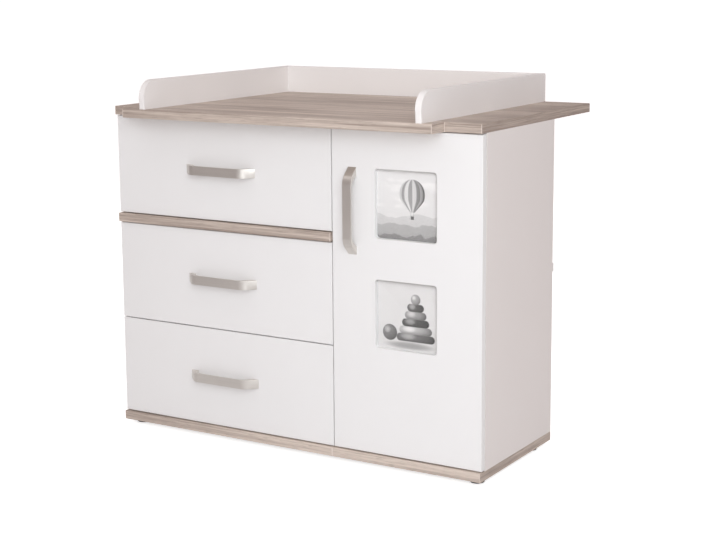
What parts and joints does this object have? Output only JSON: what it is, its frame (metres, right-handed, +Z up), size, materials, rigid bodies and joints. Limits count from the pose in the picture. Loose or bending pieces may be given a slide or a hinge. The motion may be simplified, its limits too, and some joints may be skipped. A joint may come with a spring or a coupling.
{
  "type": "changing dresser",
  "caption": "Wide white dresser with wood-tone boards: drawers on the left, a door with picture recesses on the right, and a deep changing top with a low rim on three sides.",
  "frame": {"origin": "on the floor, midway between the two ends and midway between the changing top's front and back edges", "axes": "+X to the right as seen from the front, +Y to the back, +Z up"},
  "size_m": [1.19, 0.75, 1.035],
  "materials": {
    "wood_decor": "grey-brown elm-look melamine on chipboard, fine lengthways grain, satin",
    "white_board": "white melamine on chipboard, satin",
    "white_hardboard": "white-faced hardboard, matt",
    "satin_nickel": "satin nickel on die-cast zinc",
    "nickel": "bright nickel-plated steel",
    "zinc": "bright zinc-plated steel",
    "white_steel": "white epoxy powder coat on rolled steel",
    "nylon": "natural white nylon",
    "white_plastic": "white extruded plastic",
    "black_plastic": "black moulded plastic",
    "black_rubber": "black rubber sole",
    "clear_rubber": "clear soft bumper dots",
    "clear_acrylic": "clear acrylic sheet",
    "picture_card": "printed cards in soft greys, a balloon over hills and a ring-stacking toy"
  },
  "bodies": {
    "cabinet": {"bottom_board": "wood_decor", "side_panel_left": "white_board", "side_panel_right": "white_board", "partition": "white_board", "mid_rail": "white_board", "trim_strip": "wood_decor", "top_rails": "white_board", "cam_fittings": "zinc", "top_plate": "wood_decor", "rim_left": "white_board", "rim_right": "white_board", "rim_back": "white_board", "rim_screws": "zinc", "back_panel_lower": "white_hardboard", "back_panel_upper": "white_hardboard", "back_joiner": "white_plastic", "back_clips": "white_plastic", "shelf": "white_board", "shelf_pins": "nickel", "foot_bodies": "black_plastic", "foot_soles": "black_rubber", "cabinet_runners": "white_steel", "hinge_plates": "nickel", "hinge_arms": "nickel", "door_bumpers": "clear_rubber"},
    "drawer_bottom": {"drawer_bottom_front": "white_board", "drawer_bottom_sides": "white_board", "drawer_bottom_back": "white_board", "drawer_bottom_base": "white_hardboard", "drawer_bottom_handle": "satin_nickel", "drawer_bottom_handle_screws": "zinc", "drawer_bottom_runners": "white_steel"},
    "drawer_bottom_front_rollers": {"drawer_bottom_front_rollers": "nylon"},
    "drawer_bottom_rear_rollers": {"drawer_bottom_rear_rollers": "nylon"},
    "drawer_middle": {"drawer_middle_front": "white_board", "drawer_middle_sides": "white_board", "drawer_middle_back": "white_board", "drawer_middle_base": "white_hardboard", "drawer_middle_handle": "satin_nickel", "drawer_middle_handle_screws": "zinc", "drawer_middle_runners": "white_steel"},
    "drawer_middle_front_rollers": {"drawer_middle_front_rollers": "nylon"},
    "drawer_middle_rear_rollers": {"drawer_middle_rear_rollers": "nylon"},
    "drawer_top": {"drawer_top_front": "white_board", "drawer_top_sides": "white_board", "drawer_top_back": "white_board", "drawer_top_base": "white_hardboard", "drawer_top_handle": "satin_nickel", "drawer_top_handle_screws": "zinc", "drawer_top_runners": "white_steel"},
    "drawer_top_front_rollers": {"drawer_top_front_rollers": "nylon"},
    "drawer_top_rear_rollers": {"drawer_top_rear_rollers": "nylon"},
    "door": {"door_panel": "white_board", "door_pictures": "picture_card", "door_panes": "clear_acrylic", "door_handle": "satin_nickel", "door_handle_screws": "zinc", "hinge_cups": "nickel"},
    "hinge_links": {"hinge_links": "nickel"}
  },
  "joints": [
    {"name": "drawer_bottom_slide", "type": "slide", "parent": "cabinet", "child": "drawer_bottom", "axis": [0, -1, 0], "range_m": [0, 0.27]},
    {"name": "drawer_bottom_front_roll", "type": "hinge", "parent": "cabinet", "child": "drawer_bottom_front_rollers", "pos_m": [-0.223, -0.268, 0.0785], "axis": [1, 0, 0], "range_deg": [0, 1722]},
    {"name": "drawer_bottom_rear_roll", "type": "hinge", "parent": "drawer_bottom", "child": "drawer_bottom_rear_rollers", "pos_m": [-0.223, 0.054, 0.0795], "axis": [1, 0, 0], "range_deg": [0, 1410]},
    {"name": "drawer_middle_slide", "type": "slide", "parent": "cabinet", "child": "drawer_middle", "axis": [0, -1, 0], "range_m": [0, 0.27]},
    {"name": "drawer_middle_front_roll", "type": "hinge", "parent": "cabinet", "child": "drawer_middle_front_rollers", "pos_m": [-0.223, -0.268, 0.3645], "axis": [1, 0, 0], "range_deg": [0, 1722]},
    {"name": "drawer_middle_rear_roll", "type": "hinge", "parent": "drawer_middle", "child": "drawer_middle_rear_rollers", "pos_m": [-0.223, 0.054, 0.3655], "axis": [1, 0, 0], "range_deg": [0, 1410]},
    {"name": "drawer_top_slide", "type": "slide", "parent": "cabinet", "child": "drawer_top", "axis": [0, -1, 0], "range_m": [0, 0.27]},
    {"name": "drawer_top_front_roll", "type": "hinge", "parent": "cabinet", "child": "drawer_top_front_rollers", "pos_m": [-0.223, -0.268, 0.6785], "axis": [1, 0, 0], "range_deg": [0, 1722]},
    {"name": "drawer_top_rear_roll", "type": "hinge", "parent": "drawer_top", "child": "drawer_top_rear_rollers", "pos_m": [-0.223, 0.054, 0.6795], "axis": [1, 0, 0], "range_deg": [0, 1410]},
    {"name": "door_swing", "type": "hinge", "parent": "cabinet", "child": "door", "pos_m": [0.589, -0.294, 0.4835], "axis": [0, 0, 1], "range_deg": [0, 95]},
    {"name": "hinge_links_swing", "type": "hinge", "parent": "cabinet", "child": "hinge_links", "pos_m": [0.589, -0.294, 0.4835], "axis": [0, 0, 1], "range_deg": [0, 55]}
  ],
  "couplings": [
    {"joint": "drawer_bottom_front_roll", "follows": "drawer_bottom_slide", "rad_per_m": 111.11},
    {"joint": "drawer_bottom_rear_roll", "follows": "drawer_bottom_slide", "rad_per_m": 90.909},
    {"joint": "drawer_middle_front_roll", "follows": "drawer_middle_slide", "rad_per_m": 111.11},
    {"joint": "drawer_middle_rear_roll", "follows": "drawer_middle_slide", "rad_per_m": 90.909},
    {"joint": "drawer_top_front_roll", "follows": "drawer_top_slide", "rad_per_m": 111.11},
    {"joint": "drawer_top_rear_roll", "follows": "drawer_top_slide", "rad_per_m": 90.909},
    {"joint": "hinge_links_swing", "follows": "door_swing", "ratio": 0.57}
  ]
}
